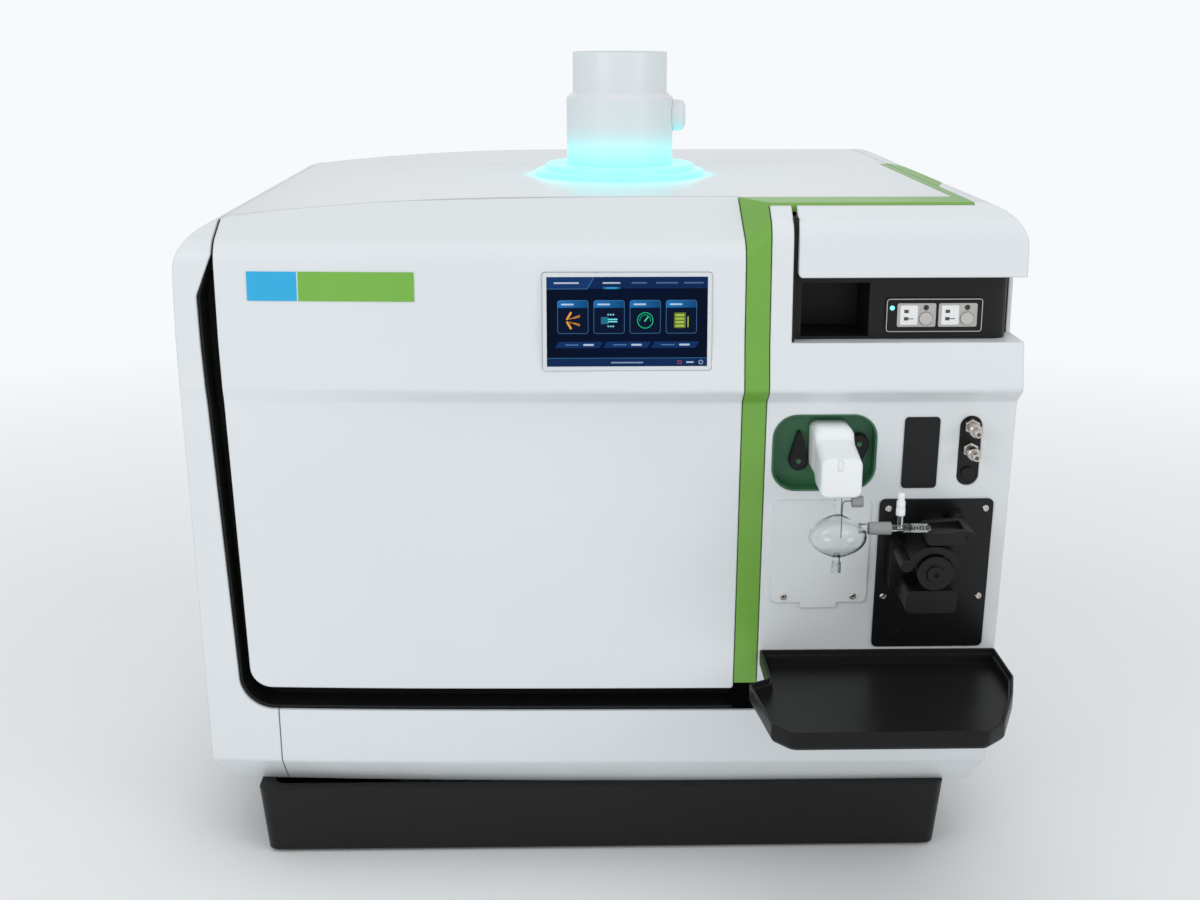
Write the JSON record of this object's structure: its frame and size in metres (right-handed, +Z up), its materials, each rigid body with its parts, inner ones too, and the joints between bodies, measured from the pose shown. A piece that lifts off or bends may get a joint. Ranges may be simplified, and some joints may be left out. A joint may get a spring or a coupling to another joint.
{
  "type": "mass spectrometer",
  "caption": "Benchtop plasma mass spectrometer: white cabinet with a lift-up door and screen, green stripe, sample inlet with tube pump, drip tray and exhaust stack.",
  "frame": {"origin": "on the bench, under the middle of the bounding box, which reaches from the front of the drip tray to the ends of the rear couplings", "axes": "+X to the right seen from the front, +Y to the back, +Z up"},
  "size_m": [0.82, 0.894, 0.838],
  "materials": {
    "white_paint": "satin powder coat, cool white",
    "white_plastic": "fine satin moulding, cool white",
    "mount_white": "gloss moulding, white",
    "black_plastic": "satin moulding, black",
    "black_gloss": "semi-gloss, black",
    "black_tray": "satin moulding, black",
    "green_plastic": "satin moulding, leaf green",
    "dark_green": "satin moulding, dark green",
    "grey_plastic": "satin, grey",
    "button_grey": "satin, light grey",
    "pad_white": "semi-gloss, white",
    "pale_bezel": "satin, cool white",
    "screen": "dark touch screen glass, lit from behind",
    "nameplate": "blank two-colour plate",
    "light": "glowing cyan light guide",
    "glass": "clear laboratory glass",
    "clear_plastic": "translucent fluoropolymer",
    "nickel": "nickel plate",
    "steel": "sheet steel",
    "aluminium": "machined",
    "copper": "bare copper tube",
    "brass": "machined",
    "rubber": "moulded"
  },
  "bodies": {
    "chassis": {"access_panel": "white_plastic", "base_pan": "steel", "button_bezel": "black_gloss", "button_pads": "pad_white", "drip_tray": "black_tray", "exhaust_flange": "white_plastic", "exhaust_stack": "white_plastic", "front_bulkhead": "steel", "gas_fittings": "nickel", "gas_plate": "black_gloss", "green_stripe": "green_plastic", "groove_liner": "black_plastic", "interface_housing": "aluminium", "label_plate": "black_gloss", "left_side_panel": "white_paint", "levelling_feet": "rubber", "light_ring": "light", "load_coil": "copper", "lower_front_panel": "white_plastic", "nebuliser": "clear_plastic", "nebuliser_sleeve": "grey_plastic", "panel_screws": "nickel", "plinth": "black_plastic", "port_plate": "dark_green", "power_entry": "black_plastic", "pump_head": "black_plastic", "pump_plate": "black_gloss", "rear_couplings": "brass", "rear_panel": "white_paint", "rear_top_panel": "white_paint", "recess_liner": "black_plastic", "rf_generator": "aluminium", "right_cover": "white_plastic", "right_fascia": "white_plastic", "right_side_panel": "white_paint", "shoulder_grip_pad": "green_plastic", "spray_chamber": "glass", "status_light": "light", "stub_cap": "white_plastic", "top_panel": "white_paint", "torch_box": "steel", "torch_mount": "mount_white", "torch_tube": "glass", "turbo_pump": "aluminium", "vacuum_chamber": "aluminium"},
    "door": {"front_door": "white_plastic", "door_liner": "white_plastic", "door_hinge_arms": "steel", "screen_bezel": "pale_bezel", "screen_glass": "screen", "nameplate": "nameplate"},
    "left_button": {"button_left": "button_grey"},
    "right_button": {"button_right": "button_grey"},
    "left_latch": {"latch_left": "black_plastic"},
    "right_latch": {"latch_right": "black_plastic"},
    "pump_wheel": {"pump_rotor": "black_plastic", "pump_rollers": "nickel"},
    "shoe": {"pump_shoe": "black_plastic"},
    "clamp_lever": {"pump_lever": "black_plastic"},
    "rocker": {"power_switch": "black_gloss"}
  },
  "joints": [
    {"name": "door_lift", "type": "hinge", "parent": "chassis", "child": "door", "pos_m": [0, -0.137, 0.66], "axis": [-1, 0, 0], "range_deg": [0, 65]},
    {"name": "left_button_press", "type": "slide", "parent": "chassis", "child": "left_button", "axis": [0, 1, 0], "range_m": [0, 0.0015], "stiffness_N_per_m": 800, "springref_m": -0.001},
    {"name": "right_button_press", "type": "slide", "parent": "chassis", "child": "right_button", "axis": [0, 1, 0], "range_m": [0, 0.0015], "stiffness_N_per_m": 800, "springref_m": -0.001},
    {"name": "left_latch_turn", "type": "hinge", "parent": "chassis", "child": "left_latch", "pos_m": [0.1989, -0.24569, 0.44808], "axis": [0, -0.9977, -0.0677], "range_deg": [0, 40]},
    {"name": "right_latch_turn", "type": "hinge", "parent": "chassis", "child": "right_latch", "pos_m": [0.2585, -0.24688, 0.46558], "axis": [0, -0.9977, -0.0677], "range_deg": [0, 25]},
    {"name": "pump_spin", "type": "hinge", "parent": "chassis", "child": "pump_wheel", "pos_m": [0.326, -0.27943, 0.35438], "axis": [0, -0.9977, -0.0677], "continuous": true},
    {"name": "clamp_lever_lift", "type": "hinge", "parent": "chassis", "child": "clamp_lever", "pos_m": [0.357, -0.2818, 0.3893], "axis": [0, 0.9977, 0.0677], "range_deg": [0, 100]},
    {"name": "shoe_lift", "type": "hinge", "parent": "chassis", "child": "shoe", "pos_m": [0.299, -0.27984, 0.36036], "axis": [0, -0.9977, -0.0677], "range_deg": [0, 50]},
    {"name": "power_rocker", "type": "hinge", "parent": "chassis", "child": "rocker", "pos_m": [0.31, 0.416, 0.225], "axis": [-1, 0, 0], "range_deg": [0, 16]}
  ],
  "couplings": [
    {"joint": "shoe_lift", "follows": "clamp_lever_lift", "ratio": 0.5}
  ]
}
